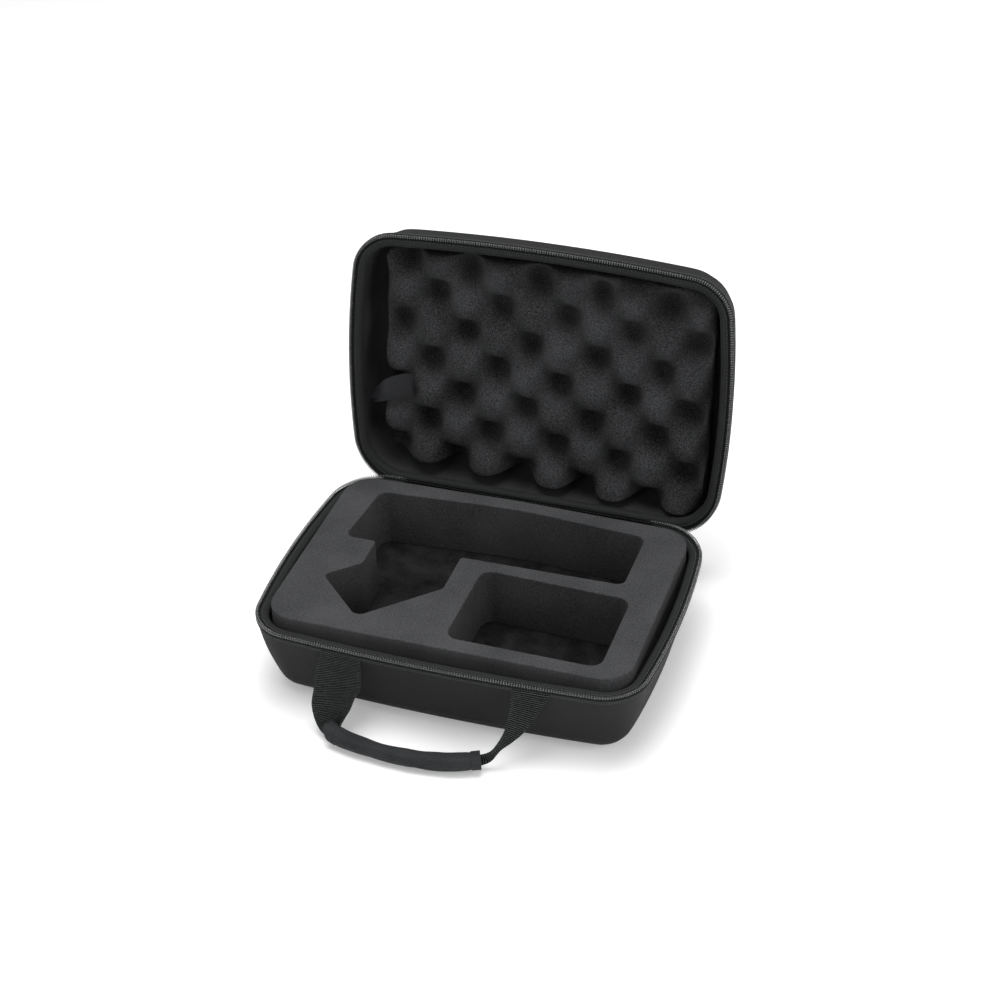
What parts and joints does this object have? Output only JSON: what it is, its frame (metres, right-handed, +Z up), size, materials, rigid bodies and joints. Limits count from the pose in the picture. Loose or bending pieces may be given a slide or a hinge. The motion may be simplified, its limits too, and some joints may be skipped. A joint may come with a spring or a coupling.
{
  "type": "zip carry case",
  "caption": "Soft-shell carry case with a zipped hinged lid, a cut foam insert, an egg-crate foam lid pad and a webbing handle.",
  "frame": {"origin": "centre of the base's flat underside", "axes": "+X along the case's length, -Y towards the handle, +Y towards the hinge, +Z up"},
  "size_m": [0.303, 0.3274, 0.2588],
  "materials": {
    "shell_fabric": "black oxford weave bonded to moulded EVA board",
    "lining_fabric": "black brushed knit lining",
    "insert_foam": "charcoal closed-cell foam, matt, fine grain",
    "egg_foam": "black open-cell convoluted foam, matt",
    "binding_fabric": "black knitted binding tape",
    "zip_tape": "black woven zip tape",
    "zip_coil": "black nylon coil",
    "zip_metal": "black enamelled zinc",
    "hinge_fabric": "black oxford weave",
    "webbing": "black ribbed polypropylene webbing",
    "grip_fabric": "black oxford weave sleeve with a sewn seam",
    "label_satin": "black satin ribbon"
  },
  "bodies": {
    "base": {"base_shell": "shell_fabric", "base_lining": "lining_fabric", "base_foam_insert": "insert_foam", "base_foam_floor": "insert_foam", "base_rim_binding": "binding_fabric", "base_zip_tape": "zip_tape", "base_zip_coil": "zip_coil", "base_zip_stops": "zip_metal", "hinge_base_hem": "hinge_fabric", "handle_anchor_left": "webbing", "handle_anchor_right": "webbing"},
    "lid": {"lid_shell": "shell_fabric", "lid_lining": "lining_fabric", "lid_foam_pad": "egg_foam", "lid_rim_binding": "binding_fabric", "lid_zip_tape": "zip_tape", "lid_zip_coil": "zip_coil", "lid_zip_stops": "zip_metal", "hinge_strip": "hinge_fabric", "label_tag": "label_satin"},
    "slider_left": {"zip_slider_left": "zip_metal"},
    "slider_right": {"zip_slider_right": "zip_metal"},
    "pull_left": {"zip_pull_left": "zip_metal"},
    "pull_right": {"zip_pull_right": "zip_metal"},
    "handle": {"handle_strap_left": "webbing", "handle_strap_right": "webbing", "handle_grip_sleeve": "grip_fabric", "handle_grip_core": "webbing"}
  },
  "joints": [
    {"name": "lid_hinge", "type": "hinge", "parent": "base", "child": "lid", "pos_m": [0, 0.1034, 0.052], "axis": [1, 0, 0], "range_deg": [-27, 98]},
    {"name": "handle_swing", "type": "hinge", "parent": "base", "child": "handle", "pos_m": [0, -0.1037, 0.0536], "axis": [-1, 0, 0], "range_deg": [-12, 85]},
    {"name": "slider_left_travel", "type": "slide", "parent": "lid", "child": "slider_left", "axis": [-1, 0, 0], "range_m": [0, 0.016]},
    {"name": "slider_right_travel", "type": "slide", "parent": "lid", "child": "slider_right", "axis": [1, 0, 0], "range_m": [0, 0.016]},
    {"name": "pull_left_swing", "type": "hinge", "parent": "slider_left", "child": "pull_left", "pos_m": [-0.089, 0.11481, 0.04191], "axis": [0, 0.9903, -0.1392], "range_deg": [-75, 75]},
    {"name": "pull_right_swing", "type": "hinge", "parent": "slider_right", "child": "pull_right", "pos_m": [0.089, 0.11481, 0.04191], "axis": [0, 0.9903, -0.1392], "range_deg": [-75, 75]}
  ]
}
